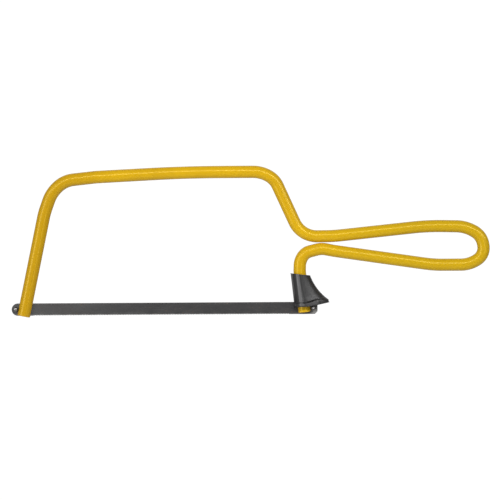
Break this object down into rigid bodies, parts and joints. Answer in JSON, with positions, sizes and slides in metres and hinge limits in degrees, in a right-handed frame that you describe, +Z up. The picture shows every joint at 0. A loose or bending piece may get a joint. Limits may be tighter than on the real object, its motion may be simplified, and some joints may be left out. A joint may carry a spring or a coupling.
{
  "type": "junior hacksaw",
  "caption": "Small hacksaw with a bent rod frame and looped handle, a pin-end blade and a moulded finger guard on the rear leg.",
  "frame": {"origin": "middle of the bottom of the bounding box, under the saw held upright with its blade horizontal", "axes": "+X along the blade from the front pin to the handle, +Y across the saw, +Z up from the teeth to the top bar"},
  "size_m": [0.2346, 0.0124, 0.0739],
  "materials": {
    "yellow_coat": "gloss dip coating over steel rod",
    "blade_steel": "blackened hardened steel, satin",
    "pin_steel": "bare steel",
    "guard_plastic": "satin moulded charcoal plastic"
  },
  "bodies": {
    "frame": {"frame": "yellow_coat"},
    "blade": {"blade": "blade_steel", "front_pin": "pin_steel", "rear_pin": "pin_steel"},
    "guard": {"blade_guard": "guard_plastic"}
  },
  "joints": [
    {"name": "blade_swing", "type": "hinge", "parent": "frame", "child": "blade", "pos_m": [-0.11523, 0, 0.00398], "axis": [0, 1, 0], "range_deg": [0, 90]},
    {"name": "guard_slide", "type": "slide", "parent": "frame", "child": "guard", "axis": [-0.1149, 0, 0.9934], "range_m": [0, 0.003]}
  ]
}
